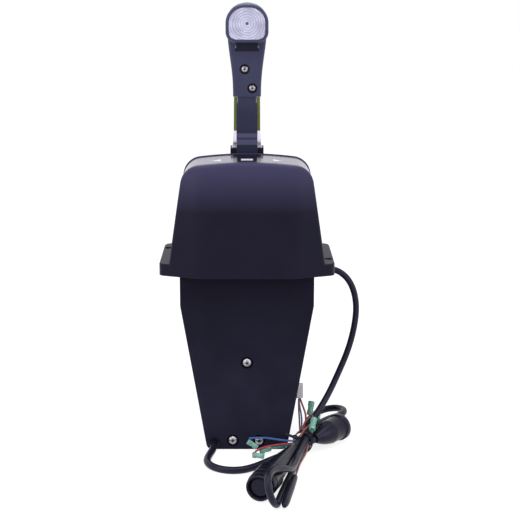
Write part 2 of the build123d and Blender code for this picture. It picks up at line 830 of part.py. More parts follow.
def tooth_face(teeth, root):
    """One involute tooth, pointing along the drawing's +X, on a root circle."""
    pitch = gear_module * teeth / 2
    base = pitch * cos(radians(pressure_angle))
    tip = pitch + tooth_addendum * gear_module
    start = sqrt(max((root / base) ** 2 - 1, 0.0))
    end = sqrt((tip / base) ** 2 - 1)
    flare = tan(radians(pressure_angle)) - radians(pressure_angle)
    half_tooth = pi / (2 * teeth) - tooth_backlash / (2 * pitch)
    turn = half_tooth + flare
    steps = 4
    flank = []
    for i in range(steps + 1):
        x, y = involute_point(base, start + (end - start) * i / steps)
        flank.append((x * cos(turn) + y * sin(turn), x * sin(turn) - y * cos(turn)))
    foot = (root * 0.96 * flank[0][0] / sqrt(flank[0][0] ** 2 + flank[0][1] ** 2),
            root * 0.96 * flank[0][1] / sqrt(flank[0][0] ** 2 + flank[0][1] ** 2))
    upper = [foot] + flank
    lower = [(x, -y) for x, y in reversed(upper)]
    return make_face(Polyline(*upper, *lower, close=True))


def teeth_along_y(teeth, angles, axis_z):
    """Teeth at the given angles, in degrees, about an axis along Y."""
    root = gear_module * (teeth / 2 - tooth_dedendum)
    tooth = tooth_face(teeth, root)
    far = gear_near + gear_width
    return [along_y(Pos(0, axis_z) * Rot(0, 0, angle) * tooth, gear_near, far)
            for angle in angles]


def drive_gear():
    step = 360 / pinion_teeth
    root = gear_module * (pinion_teeth / 2 - tooth_dedendum)
    gear = disc_y(0, lever_axis, root, gear_near, gear_near + gear_width)
    gear += teeth_along_y(pinion_teeth, [-90 + step * i for i in range(pinion_teeth)], lever_axis)
    gear += disc_y(0, lever_axis, gear_hub_radius, gear_near + gear_width, gear_hub_far)
    return gear - disc_y(0, lever_axis, shaft_radius, gear_near - 1, gear_hub_far + 1)


def shift_gear_arm():
    z = sector_axis()
    far = gear_near + gear_width
    step = 360 / sector_teeth
    root = gear_module * (sector_teeth / 2 - tooth_dedendum)
    count = int(sector_half_angle / step)
    angles = [90 + step * (i + 0.5) for i in range(-count, count)]
    half = radians(count * step)
    reach = 2 * root
    wedge = make_face(Polyline((0, 0), (reach * sin(half), reach * cos(half)), (0, 2 * reach),
                               (-reach * sin(half), reach * cos(half)), close=True))
    rim = disc_y(0, z, root, gear_near, far) - disc_y(0, z, root - sector_rim, gear_near, far)
    rim = rim & along_y(Pos(0, z) * wedge, gear_near, far)
    rim += teeth_along_y(sector_teeth, angles, z)
    spoke_end = root - sector_rim / 2
    web = link_face((0, 0), sector_hub_radius, (0, -shift_arm_length), arm_end_radius)
    arm = along_y(Pos(0, z) * web, gear_near, far)
    for turn in (-half * 0.8, 0.0, half * 0.8):
        end = (spoke_end * sin(turn), spoke_end * cos(turn))
        spoke = link_face((0, 0), sector_hub_radius * 0.7, end, sector_rim / 2 - 0.4)
        arm += along_y(Pos(0, z) * spoke, gear_near, far)
    arm += rim
    arm += disc_y(0, z, sector_hub_radius, sector_hub_near, sector_hub_far)
    arm -= disc_y(0, z, stud_radius + running_gap, sector_hub_near - 1, sector_hub_far + 1)
    pin_end = far + barrel_length + 2 * touch_gap
    arm += disc_y(0, z - shift_arm_length, pin_radius, far, pin_end)
    return arm + disc_y(0, z - shift_arm_length, pin_head_radius, pin_end,
                        pin_end + pin_head_thick)


def shift_pivot_stud():
    z = sector_axis()
    head = sector_hub_far + touch_gap
    stud = disc_y(0, z, stud_radius, plate_near, head)
    stud += disc_y(0, z, stud_collar, plate_far, sector_hub_near - touch_gap)
    return stud + disc_y(0, z, stud_head, head, head + stud_head_thick)


def swivel(axis_z, near):
    """Cable swivel on a pin along Y, its threaded socket pointing down."""
    far = near + barrel_length
    body = disc_y(0, axis_z, barrel_radius, near, far)
    middle = (near + far) / 2
    low = axis_z - barrel_radius - swivel_stem_length + 4
    body += disc_z(0, middle, swivel_stem_radius, low, axis_z)
    body -= disc_y(0, axis_z, pin_radius + running_gap, near - 1, far + 1)
    return body - disc_z(0, middle, swivel_hole_radius, low - 1, low + swivel_hole_depth)


def shift_line():
    return gear_near + gear_width + touch_gap + barrel_length / 2


def throttle_line():
    return crank_near - touch_gap - barrel_length / 2


def shift_swivel():
    return swivel(sector_axis() - shift_arm_length, gear_near + gear_width + touch_gap)


def throttle_swivel():
    return swivel(lever_axis - crank_length, crank_near - touch_gap - barrel_length)


def throttle_crank():
    end_z = lever_axis - crank_length
    face = link_face((0, lever_axis), crank_hub_radius, (0, end_z), crank_end_radius)
    far = crank_near + crank_width
    crank = along_y(face, crank_near, far)
    crank -= disc_y(0, lever_axis, shaft_radius, crank_near - 1, far + 1)
    pin_end = crank_near - barrel_length - 2 * touch_gap
    crank += disc_y(0, end_z, pin_radius, pin_end, crank_near)
    return crank + disc_y(0, end_z, pin_head_radius, pin_end - pin_head_thick, pin_end)


def detent_disc():
    far = detent_near + detent_width
    disc = disc_y(0, lever_axis, detent_radius, detent_near, far)
    for angle in detent_angles:
        x = detent_radius * sin(radians(angle))
        z = lever_axis + detent_radius * cos(radians(angle))
        disc -= disc_y(x, z, detent_notch, detent_near - 1, far + 1)
    return disc - disc_y(0, lever_axis, shaft_radius, detent_near - 1, far + 1)


def main_shaft():
    shaft = disc_y(0, lever_axis, shaft_radius, shaft_near, shaft_far)
    shaft = chamfer(shaft.edges().filter_by(GeomType.CIRCLE), 0.8)
    groove = shaft_near + ring_end
    ring = disc_y(0, lever_axis, shaft_radius + 1, groove, groove + ring_width)
    ring -= disc_y(0, lever_axis, shaft_radius - ring_groove_depth, groove - 1, groove + ring_width + 1)
    return shaft - ring


def retaining_ring():
    near = shaft_near + ring_end
    ring = disc_y(0, lever_axis, shaft_radius + ring_wall, near, near + ring_width)
    ring -= disc_y(0, lever_axis, shaft_radius - ring_groove_depth, near - 1, near + ring_width + 1)
    gap = block(-2, 2, near - 1, near + ring_width + 1, lever_axis - 20, lever_axis)
    return ring - gap


# ---- lever ------------------------------------------------------------------------
def arm_face(grow=0.0):
    right = [(arm_foot_half + grow, arm_foot - grow), (arm_foot_half + grow, neck_top),
             (arm_slim_half + grow, arm_slim_low), (arm_slim_half - strip_thick + grow, arm_slim_low),
             (arm_top_half + grow, arm_top + grow)]
    left = [(-x, z) for x, z in reversed(right)]
    return make_face(Polyline(*right, *left, close=True))


def lever_arm():
    arm = along_y(arm_face(), arm_near, arm_far)
    uprights = arm.edges().filter_by(lambda e: e.center().Z > neck_top + 1
                                     and abs(abs((e @ 0.5).Y - (arm_near + arm_far) / 2)
                                             - (arm_far - arm_near) / 2) < 0.01
                                     and abs((e @ 0).Z - (e @ 1).Z) > 10)
    return chamfer(uprights, 0.6)


def edge_strips():
    """Two lime trims, each an L that wraps a front corner of the arm."""
    strips = []
    inner = arm_slim_half - strip_thick
    narrow = (inner - arm_top_half) / (arm_top - arm_slim_low) * (strip_high - arm_slim_low)
    for side in (-1, 1):
        edge = [(side * inner, strip_low), (side * (inner - narrow), strip_high)]
        wall = make_face(Polyline(*edge, (edge[1][0] + side * strip_thick, strip_high),
                                  (edge[0][0] + side * strip_thick, strip_low), close=True))
        lip = make_face(Polyline(
            (edge[0][0] + side * strip_thick - side * strip_lip, strip_low),
            (edge[1][0] + side * strip_thick - side * strip_lip, strip_high),
            (edge[1][0] + side * strip_thick, strip_high),
            (edge[0][0] + side * strip_thick, strip_low), close=True))
        strip = along_y(wall, arm_near, arm_far) + along_y(lip, arm_near - strip_thick, arm_near)
        strips.append(strip)
    return group(strips)


def handle_face():
    """Outline of the handle's column in X and Z, round at the top."""
    crown = handle_top - handle_crown_half
    side = [(handle_foot_half, handle_foot), (handle_mid_half, handle_mid),
            (handle_neck_half, handle_neck), (handle_crown_half, crown)]
    right = Spline(*side, tangents=((0, 1), (0, 1)))
    left = Spline(*[(-x, z) for x, z in reversed(side)], tangents=((0, -1), (0, -1)))
    top = ThreePointArc((handle_crown_half, crown), (0, handle_top), (-handle_crown_half, crown))
    foot = Line((-handle_foot_half, handle_foot), (handle_foot_half, handle_foot))
    return make_face(Curve() + [right, top, left, foot])


def handle_inner_shell():
    shell = along_y(handle_face(), handle_near, handle_split)
    rim = shell.edges().filter_by(lambda e: abs((e @ 0.5).Y - handle_near) < 0.01
                                  and (e @ 0.5).Z > handle_foot + 0.01)
    shell = fillet(rim, handle_round)
    tongue = Pos(0, (neck_top + handle_foot) / 2 + 2.5) * Rectangle(
        2 * tongue_half, handle_foot - neck_top + 5)
    bar = along_y(tongue, tongue_near, arm_near)
    bar = fillet(bar.edges().filter_by(Axis.Z).filter_by(
        lambda e: abs((e @ 0.5).Y - tongue_near) < 0.01), 1.5)
    shell += bar
    shell -= along_y(arm_face(hole_gap), arm_near, arm_far) & block(
        -handle_crown_half, handle_crown_half, arm_near, arm_far, handle_foot - 5, arm_top + 5)
    for x, z in handle_screw_places:
        shell -= disc_y(x, z, handle_recess_radius, handle_near - 1, handle_near + handle_recess_depth)
        shell -= disc_y(x, z, handle_shank_radius + hole_gap, handle_near, handle_split + 1)
    socket = grip_section(grip_half_width - 5, 5, handle_near)
    return shell - extrude(socket, grip_spigot + hole_gap, dir=(0, 1, 0))


def handle_outer_shell():
    shell = along_y(handle_face(), handle_split, handle_far)
    rim = shell.edges().filter_by(lambda e: abs((e @ 0.5).Y - handle_far) < 0.01
                                  and (e @ 0.5).Z > handle_foot + 0.01)
    shell = fillet(rim, handle_round * 1.5)
    shell -= along_y(arm_face(hole_gap), arm_near, arm_far) & block(
        -handle_crown_half, handle_crown_half, arm_near, arm_far, handle_foot - 5, arm_top + 5)
    for x, z in handle_screw_places:
        shell -= disc_y(x, z, handle_shank_radius + hole_gap, handle_split - 1,
                        handle_near + handle_recess_depth + handle_shank_length + 1)
    return shell


def handle_screws():
    screw = pan_screw(handle_head_radius, handle_head_height, handle_shank_radius,
                      handle_shank_length)
    y = handle_near + handle_recess_depth
    return group([Pos(x, y, z) * Rot(90, 0, 0) * screw for x, z in handle_screw_places])


def arm_screw_holes(arm):
    for x, z in handle_screw_places:
        arm -= disc_y(x, z, handle_shank_radius + hole_gap, arm_near - 1, arm_far + 1)
    return arm


def lever_hub():
    hub = disc_y(0, lever_axis, hub_radius, hub_near, hub_body_far)
    neck = Pos(0, (lever_axis + neck_top) / 2) * Rectangle(2 * neck_half, neck_top - lever_axis)
    hub += along_y(neck, hub_near, hub_body_far)
    hub -= along_y(arm_face(hole_gap), arm_near, arm_far)
    hub -= disc_y(0, lever_axis, shaft_radius, hub_near - 1, shaft_far)
    cavity = button_cavity_near()
    return hub - disc_y(0, lever_axis, button_radius + touch_gap, cavity, hub_body_far + 1)


def button_cavity_near():
    return hub_cover_far + button_proud - button_length - button_travel - 0.5


def hub_cover():
    cover = disc_y(0, lever_axis, hub_radius, hub_body_far, hub_cover_far)
    neck = Pos(0, (lever_axis + neck_top) / 2) * Rectangle(2 * neck_half, neck_top - lever_axis)
    cover += along_y(neck, hub_body_far, hub_cover_far - hub_round)
    rim = cover.edges().filter_by(lambda e: abs((e @ 0.5).Y - hub_cover_far) < 0.01)
    cover = fillet(rim, hub_round - 0.5)
    return cover - disc_y(0, lever_axis, button_radius + touch_gap, hub_body_far - 1, hub_cover_far + 1)


def free_throttle_button():
    far = hub_cover_far + button_proud
    button = disc_y(0, lever_axis, button_radius, far - button_length, far)
    rim = button.edges().filter_by(lambda e: abs((e @ 0.5).Y - far) < 0.01)
    return fillet(rim, 1.2)


# ---- grip -------------------------------------------------------------------------
def grip_section(half_width, inset, y):
    """Rounded section of the grip, inset evenly, standing in the plane Y=y."""
    low, high = grip_low + inset, handle_top - inset
    face = Pos(0, (low + high) / 2) * Rectangle(2 * half_width, high - low)
    tops = [v for v in face.vertices() if v.Y > low + 1]
    face = fillet(tops, min(grip_top_radius - inset, half_width - 0.1))
    lows = [v for v in face.vertices() if v.Y < low + 0.01]
    face = fillet(lows, max(grip_low_radius - inset, 1.0))
    return Plane.XZ.offset(-y) * face


def grip():
    length = handle_near - grip_end
    stations = ((0.0, 0.0), (0.12, 0.0), (0.5, grip_waist), (0.88, 0.3), (1.0, 0.3))
    sections = [grip_section(grip_half_width - slim, slim, grip_end + length * share)
                for share, slim in stations]
    body = loft(sections)
    rim = body.edges().filter_by(lambda e: abs((e @ 0.5).Y - grip_end) < 0.01)
    body = fillet(rim, grip_rim_round)
    body -= extrude(grip_section(grip_half_width - cap_margin, cap_margin, grip_end - 1),
                    cap_depth + 1, dir=(0, 1, 0))
    spigot = grip_section(grip_half_width - 5 - hole_gap, 5 + hole_gap, handle_near)
    body += extrude(spigot, grip_spigot, dir=(0, 1, 0))
    slot_top = grip_low + trigger_in_grip + trigger_travel + 1.0
    body -= block(-trigger_half - touch_gap, trigger_half + touch_gap,
                  trigger_near - touch_gap, trigger_far + touch_gap, grip_low - 1, slot_top)
    pocket = rocker_half_height + 1.5
    body -= block(rocker_back - 2.5, grip_half_width + 1,
                  rocker_y - rocker_half_depth - touch_gap, rocker_y + rocker_half_depth + touch_gap,
                  rocker_z - pocket, rocker_z + pocket)
    return body - rocker_pin(running_gap)


def grip_end_cap():
    floor = grip_end + cap_depth
    cap = extrude(grip_section(grip_half_width - cap_margin - hole_gap, cap_margin + hole_gap, floor),
                  cap_depth - cap_crown, dir=(0, -1, 0))
    dome_radius = 160.0
    centre_z = (grip_low + handle_top) / 2
    dome = Pos(0, grip_end + dome_radius - cap_crown * 0.5, centre_z) * Sphere(dome_radius)
    slab = extrude(grip_section(grip_half_width - cap_margin - hole_gap, cap_margin + hole_gap, floor),
                   cap_depth + cap_crown, dir=(0, -1, 0))
    cap += slab & dome
    return cap - disc_y(0, centre_z, cap_dimple_radius, grip_end - 5,
                        grip_end - cap_crown * 0.5 + cap_dimple_depth)


def lock_trigger():
    lip = trigger_low + trigger_lip_height
    top = grip_low + trigger_in_grip
    outline = make_face(Polyline((-trigger_lip_half, trigger_low), (trigger_lip_half, trigger_low),
                                 (trigger_lip_half, lip), (trigger_half, lip + trigger_flare),
                                 (trigger_half, top), (-trigger_half, top),
                                 (-trigger_half, lip + trigger_flare), (-trigger_lip_half, lip), close=True))
    bar = along_y(outline, trigger_near, trigger_far)
    long_edges = bar.edges().filter_by(Axis.Y).filter_by(
        lambda e: e.center().Z < trigger_low + 0.01)
    return fillet(long_edges, 1.4)


def rocker_pin(grow=0.0):
    reach = rocker_half_depth + touch_gap + rocker_pin_reach + grow
    return disc_y(rocker_back + rocker_pin_radius, rocker_z, rocker_pin_radius + grow,
                  rocker_y - reach, rocker_y + reach)


def trim_rocker():
    side = grip_half_width + 0.4
    rise = rocker_half_height
    rim = Curve() + [
        Polyline((side - 2.5, rocker_z + rise), (rocker_back, rocker_z + rise),
                 (rocker_back, rocker_z - rise), (side - 2.5, rocker_z - rise)),
        ThreePointArc((side - 2.5, rocker_z - rise), (side, rocker_z), (side - 2.5, rocker_z + rise)),
    ]
    body = along_y(make_face(rim), rocker_y - rocker_half_depth, rocker_y + rocker_half_depth)
    return body + rocker_pin()


# ---- leads ------------------------------------------------------------------------
def cord_tube(name, points, diameter):
    """Round cord along straight runs joined by arcs as large as the runs allow."""
    radii = []
    for before, corner, after in zip(points, points[1:], points[2:]):
        run_in = Vector(*corner) - Vector(*before)
        run_out = Vector(*after) - Vector(*corner)
        turn = radians(run_in.get_angle(run_out))
        radii.append(0.45 * min(run_in.length, run_out.length) / tan(turn / 2))
    path = FilletPolyline(*points, radius=radii)
    section = Plane(origin=path @ 0, z_dir=path % 0) * Circle(diameter / 2)
    tube = sweep(section, path)
    wanted = pi * diameter ** 2 / 4 * path.length
    print(f"{name}: {path.length:.0f} mm, radii {[round(r) for r in radii]}, "
          f"volume {tube.volume / wanted:.4f} of section x length")
    return tube


def station_plane(index):
    """Plane across the folded harness at one of its stations."""
    x, y, half, height = hank_stations[index]
    before = hank_stations[max(index - 1, 0)]
    after = hank_stations[min(index + 1, len(hank_stations) - 1)]
    direction = Vector(after[0] - before[0], after[1] - before[1], 0)
    return Plane(origin=(x, y, height / 2 + touch_gap),
                 x_dir=(direction.Y, -direction.X, 0), z_dir=direction)


def harness_hank():
    """Outer shape of the folded harness, lying on the floor."""
    return loft([station_plane(i) * Ellipse(half, height / 2)
                 for i, (x, y, half, height) in enumerate(hank_stations)])


def hank_tie():
    x, y, half, height = hank_stations[hank_waist]
    half, rise = half + tie_gap, height / 2 + tie_gap
    ring = Ellipse(half + tie_thick, rise + tie_thick) - Ellipse(half, rise)
    tie = extrude(station_plane(hank_waist) * ring, tie_width / 2, both=True)
    return tie & block(x - 2 * height, x + 2 * height, y - 2 * height, y + 2 * height,
                       touch_gap / 3, 3 * height)


def round_piece(start, end, profile):
    """Turned piece from start to end; profile lists shares of the length and radii."""
    axis = Vector(*end) - Vector(*start)
    steps = [(radius, share * axis.length) for share, radius in profile]
    outline = make_face(Polyline((0, 0), *steps, (0, axis.length), close=True))
    body = revolve(Plane.XZ * outline, Axis.Z)
    return Plane(origin=start, z_dir=axis) * body


def main_plug():
    profile = ((0.0, 13.0), (0.01, 13.9), (0.285, 13.9), (0.295, 12.3), (0.4, 11.6), (0.55, 10.2),
               (0.71, 7.9), (0.87, 5.9), (1.0, 4.6))
    return round_piece(plug_end, plug_neck, profile)


def plug_boot():
    profile = ((0.0, 13.0), (0.04, 14.2), (0.16, 14.2), (0.18, 12.6), (0.7, 12.0), (1.0, 6.0))
    return round_piece(boot_end, boot_neck, profile)


def wire_boot():
    """Heat-shrink boot over the brown wire's joint."""
    profile = ((0.0, 3.0), (0.07, 3.4), (0.45, 3.8), (0.9, 3.8), (1.0, 2.4))
    return round_piece(wire_boot_start, wire_boot_end, profile)


def sleeve(start, direction):
    """Crimp sleeve that starts just past a wire's end."""
    along = Vector(*direction).normalized()
    first = Vector(*start) + along * touch_gap
    profile = ((0.0, sleeve_radius - 0.5), (0.06, sleeve_radius), (0.9, sleeve_radius),
               (1.0, sleeve_radius - 0.7))
    return round_piece(tuple(first), tuple(first + along * sleeve_length), profile)


def bullet_sleeves():
    return group([sleeve(start, direction) for start, direction in sleeve_places])


def white_connector():
    x, y, z = connector_route[0]
    body = block(x - 3.5, x + 3.5, y - 5, y + 5, z + 0.5, z + 14)
    return fillet(body.edges().filter_by(Axis.Z), 0.8)


parts = {
    "base_flange": base_flange(),
    "near_cheek": near_cheek(),
    "far_cheek": far_cheek(),
    "top_band": top_band(),
    "indicator_plate": indicator_plate(),
    "indicator_marks": indicator_marks(),
    "lower_cover_near": lower_cover_near(),
    "lower_cover_far": lower_cover_far(),
    "lower_cover_screws": cover_screws(),
    "flange_side_screws": side_screws(),
    "frame_plate": frame_plate(),
    "frame_screws": frame_screws(),
    "cover_standoffs": cover_standoffs(),
    "frame_bush": frame_bush(),
    "hub_bush": hub_bush(),
    "detent_spring": detent_spring(),
    "neutral_switch": neutral_switch(),
    "switch_plunger": switch_plunger(),
    "friction_shoe": friction_shoe(),
    "friction_screw": friction_screw(),
    "shift_pivot_stud": shift_pivot_stud(),
    "throttle_cable_block": throttle_cable_block(),
    "shift_cable_block": shift_cable_block(),
    "harness_grommet": harness_grommet(),
    "lead_gland": lead_gland(),
    "main_shaft": main_shaft(),
    "drive_gear": drive_gear(),
    "throttle_crank": throttle_crank(),
    "detent_disc": detent_disc(),
    "retaining_ring": retaining_ring(),
    "lever_hub": lever_hub(),
    "hub_cover": hub_cover(),
    "lever_arm": arm_screw_holes(lever_arm()),
    "edge_strips": edge_strips(),
    "handle_inner_shell": handle_inner_shell(),
    "handle_outer_shell": handle_outer_shell(),
    "handle_screws": handle_screws(),
    "grip": grip(),
    "grip_end_cap": grip_end_cap(),
    "lock_trigger": lock_trigger(),
    "trim_rocker": trim_rocker(),
    "free_throttle_button": free_throttle_button(),
    "shift_gear_arm": shift_gear_arm(),
    "throttle_swivel": throttle_swivel(),
    "shift_swivel": shift_swivel(),
    "trim_lead": cord_tube("trim_lead", trim_route, trim_diameter),
    "harness_lead": cord_tube("harness_lead", harness_route, harness_diameter),
    "harness_hank": harness_hank(),
    "hank_tie": hank_tie(),
    "main_plug": main_plug(),
    "plug_boot": plug_boot(),
    "trim_wire_blue": cord_tube("trim_wire_blue", blue_route, wire_diameter),
    "trim_wire_red": cord_tube("trim_wire_red", red_route, wire_diameter),
    "trim_wire_green": cord_tube("trim_wire_green", green_route, wire_diameter),
    "connector_wire": cord_tube("connector_wire", connector_route, wire_diameter),
    "wire_boot": wire_boot(),
    "brown_wire": cord_tube("brown_wire", brown_route, wire_diameter),
    "bullet_sleeves": bullet_sleeves(),
    "white_connector": white_connector(),
}

os.makedirs("parts", exist_ok=True)
for name, shape in parts.items():
    export_step(shape, f"parts/{name}.step")
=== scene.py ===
import bpy
import bmesh
import json
from math import cos, pi, radians, sin
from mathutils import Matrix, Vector


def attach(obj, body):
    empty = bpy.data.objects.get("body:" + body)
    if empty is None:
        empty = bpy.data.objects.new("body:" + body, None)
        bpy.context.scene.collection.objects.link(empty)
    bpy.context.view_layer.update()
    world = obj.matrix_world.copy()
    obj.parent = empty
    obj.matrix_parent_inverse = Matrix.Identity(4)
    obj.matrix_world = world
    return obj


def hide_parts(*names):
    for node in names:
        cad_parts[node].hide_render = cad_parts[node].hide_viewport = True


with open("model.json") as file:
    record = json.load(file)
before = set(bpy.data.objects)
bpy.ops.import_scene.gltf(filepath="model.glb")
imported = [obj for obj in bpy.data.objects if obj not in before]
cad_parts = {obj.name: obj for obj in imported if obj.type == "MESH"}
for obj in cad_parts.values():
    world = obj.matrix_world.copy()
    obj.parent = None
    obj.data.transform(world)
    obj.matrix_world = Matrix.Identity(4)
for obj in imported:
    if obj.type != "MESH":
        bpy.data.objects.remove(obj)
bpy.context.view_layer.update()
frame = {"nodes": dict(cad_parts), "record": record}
scene = bpy.context.scene
scene.view_settings.view_transform = "Standard"


# ---- camera -----------------------------------------------------------------------
looks_down = 13.13  # degrees

lens = bpy.data.cameras.new("camera")
lens.sensor_width = 36
lens.lens = 83.08
lens.shift_x = 0.025
lens.clip_end = 20
camera = bpy.data.objects.new("camera", lens)
camera.location = (0, -1.222, 0.475)
camera.rotation_euler = (radians(90 - looks_down), 0, 0)
scene.collection.objects.link(camera)
scene.camera = camera


# ---- helpers ----------------------------------------------------------------------
up = Vector((0, 0, 1))


def add(name, data):
    ob = bpy.data.objects.new(name, data)
    scene.collection.objects.link(ob)
    return ob


def mm(*p):
    return Vector(p) / 1000


def add_mesh(name, bm):
    """The object of a finished bmesh, which is freed."""
    mesh = bpy.data.meshes.new(name)
    bm.to_mesh(mesh)
    bm.free()
    return add(name, mesh)


def spline(name, route, diameter):
    """A smooth cord: a NURBS spline with the route's points (mm) as control points. The
    bevel is 1 m deep and each point's radius is the cord's own, so bounds count it right."""
    cu = bpy.data.curves.new(name, "CURVE")
    cu.dimensions = "3D"
    cu.resolution_u = 14
    cu.bevel_depth = 1
    cu.bevel_resolution = 5
    cu.use_fill_caps = True
    sp = cu.splines.new("NURBS")
    sp.points.add(len(route) - 1)
    for point, p in zip(sp.points, route):
        point.co = (*mm(*p), 1)
        point.radius = diameter / 2000
    sp.order_u = 3
    sp.use_endpoint_u = True
    return add(name, cu)


def centreline(ob):
    """The points along a curve's own line, read with its bevel off."""
    depth = ob.data.bevel_depth
    ob.data.bevel_depth = 0
    bpy.context.view_layer.update()
    bare = ob.evaluated_get(bpy.context.evaluated_depsgraph_get())
    mesh = bpy.data.meshes.new_from_object(bare)
    points = [v.co.copy() for v in mesh.vertices]
    bpy.data.meshes.remove(mesh)
    ob.data.bevel_depth = depth
    return points


def lathe(name, profile, start, axis, sides=48):
    """A turned piece: profile rows of (distance along the axis, radius) in mm from start.
    Edges sharper than sharp_edge stay crisp."""
    sharp_edge = radians(40)
    axis = Vector(axis).normalized()
    side = axis.orthogonal().normalized()
    other = axis.cross(side)
    bm = bmesh.new()
    rings = []
    for along, radius in profile:
        centre = mm(*start) + axis * along / 1000
        if radius == 0:
            rings.append([bm.verts.new(centre)])
        else:
            angles = [2 * pi * k / sides for k in range(sides)]
            rings.append([bm.verts.new(centre + (side * cos(a) + other * sin(a)) * radius / 1000)
                          for a in angles])
    for a, b in zip(rings, rings[1:]):
        for k in range(sides):
            n = (k + 1) % sides
            if len(a) == 1:
                bm.faces.new((a[0], b[n], b[k]))
            elif len(b) == 1:
                bm.faces.new((a[k], a[n], b[0]))
            else:
                bm.faces.new((a[k], a[n], b[n], b[k]))
    bmesh.ops.recalc_face_normals(bm, faces=bm.faces)
    ob = add_mesh(name, bm)
    for poly in ob.data.polygons:
        poly.use_smooth = True
    edge = ob.modifiers.new("edge", "EDGE_SPLIT")
    edge.split_angle = sharp_edge
    return ob


# ---- materials --------------------------------------------------------------------
def srgb(r, g, b):
    def lin(c):
        c /= 255
        return c / 12.92 if c <= 0.04045 else ((c + 0.055) / 1.055) ** 2.4
    return (lin(r), lin(g), lin(b), 1)


round_y = (1, 0, 1)   # marks round a line along Y
across_x = (1, 0, 0)  # straight marks with a width in X
across_z = (0, 0, 1)  # and with a height in Z
plain_specular = 0.5
bluish_gloss = (0.7, 0.68, 1, 1)


def offset_from(t, where, centre, axes):
    """The object's coordinates from centre, with only the given axes counted."""
    shift = t.nodes.new("ShaderNodeVectorMath")
    shift.operation = "SUBTRACT"
    shift.inputs[1].default_value = centre
    t.links.new(where.outputs["Object"], shift.inputs[0])
    flat = t.nodes.new("ShaderNodeVectorMath")
    flat.operation = "MULTIPLY"
    flat.inputs[1].default_value = axes
    t.links.new(shift.outputs["Vector"], flat.inputs[0])
    return flat.outputs["Vector"]


def finish_material(name, colour, rough, metal=0.0, mottle=0.12, mottle_scale=40, grain=900,
                    bump=0.15, coat=0.0, painted_light_fade=None, marks=(), specular=plain_specular,
                    clear=0.0):
    """A moulded, painted or plated finish. mottle varies the colour, grain is the surface's
    texture, fade=(z where it starts, z where it is whole, colour) blends to a second colour by
    height, which paints in light and shade, in part over a real change of tone, and marks are
    (centre, axes that count, reach, colour) of places in another colour, which paint in shade,
    shadows and reflections, all in metres."""
    grain_depth = 0.0002
    rough_span = 0.12
    mark_edge = 0.06  # share of a mark's reach over which it blends, each way
    m = bpy.data.materials.new(name)
    m.use_nodes = True
    t = m.node_tree
    n, link = t.nodes, t.links
    shader = n["Principled BSDF"]
    shader.inputs["Metallic"].default_value = metal
    shader.inputs["Coat Weight"].default_value = coat
    shader.inputs["Specular IOR Level"].default_value = specular
    shader.inputs["Transmission Weight"].default_value = clear
    if specular < plain_specular:
        shader.inputs["Specular Tint"].default_value = bluish_gloss
    where = n.new("ShaderNodeTexCoord")
    cloud = n.new("ShaderNodeTexNoise")
    cloud.inputs["Scale"].default_value = mottle_scale
    cloud.inputs["Detail"].default_value = 5
    link.new(where.outputs["Object"], cloud.inputs["Vector"])
    ramp = n.new("ShaderNodeValToRGB")
    ramp.color_ramp.elements[0].position = 0.3
    ramp.color_ramp.elements[1].position = 0.7
    base = srgb(*colour)
    ramp.color_ramp.elements[0].color = [c * (1 - mottle) for c in base[:3]] + [1]
    ramp.color_ramp.elements[1].color = [min(1, c * (1 + mottle)) for c in base[:3]] + [1]
    link.new(cloud.outputs["Fac"], ramp.inputs["Fac"])
    out = ramp.outputs["Color"]
    if painted_light_fade:
        split = n.new("ShaderNodeSeparateXYZ")
        link.new(where.outputs["Object"], split.inputs["Vector"])
        ran = n.new("ShaderNodeMapRange")
        ran.inputs["From Min"].default_value = painted_light_fade[0]
        ran.inputs["From Max"].default_value = painted_light_fade[1]
        link.new(split.outputs["Z"], ran.inputs["Value"])
        mix = n.new("ShaderNodeMix")
        mix.data_type = "RGBA"
        link.new(ran.outputs["Result"], mix.inputs["Factor"])
        link.new(out, mix.inputs["A"])
        mix.inputs["B"].default_value = srgb(*painted_light_fade[2])
        out = mix.outputs["Result"]
    for centre, axes, reach, dark in marks:
        size = n.new("ShaderNodeVectorMath")
        size.operation = "LENGTH"
        link.new(offset_from(t, where, centre, axes), size.inputs[0])
        near = n.new("ShaderNodeMapRange")
        near.inputs["From Min"].default_value = reach * (1 + mark_edge)
        near.inputs["From Max"].default_value = reach * (1 - mark_edge)
        link.new(size.outputs["Value"], near.inputs["Value"])
        spot = n.new("ShaderNodeMix")
        spot.data_type = "RGBA"
        link.new(near.outputs["Result"], spot.inputs["Factor"])
        link.new(out, spot.inputs["A"])
        spot.inputs["B"].default_value = srgb(*dark)
        out = spot.outputs["Result"]
    link.new(out, shader.inputs["Base Color"])
    fine = n.new("ShaderNodeTexNoise")
    fine.inputs["Scale"].default_value = grain
    fine.inputs["Detail"].default_value = 3
    link.new(where.outputs["Object"], fine.inputs["Vector"])
    knob = n.new("ShaderNodeMapRange")
    knob.inputs["From Min"].default_value = 0.3
    knob.inputs["From Max"].default_value = 0.7
    knob.inputs["To Min"].default_value = max(0.02, rough - rough_span / 2)
    knob.inputs["To Max"].default_value = min(1, rough + rough_span / 2)
    link.new(fine.outputs["Fac"], knob.inputs["Value"])
    link.new(knob.outputs["Result"], shader.inputs["Roughness"])
    lift = n.new("ShaderNodeBump")
    lift.inputs["Strength"].default_value = bump
    lift.inputs["Distance"].default_value = grain_depth
    link.new(fine.outputs["Fac"], lift.inputs["Height"])
    link.new(lift.outputs["Normal"], shader.inputs["Normal"])
    return m


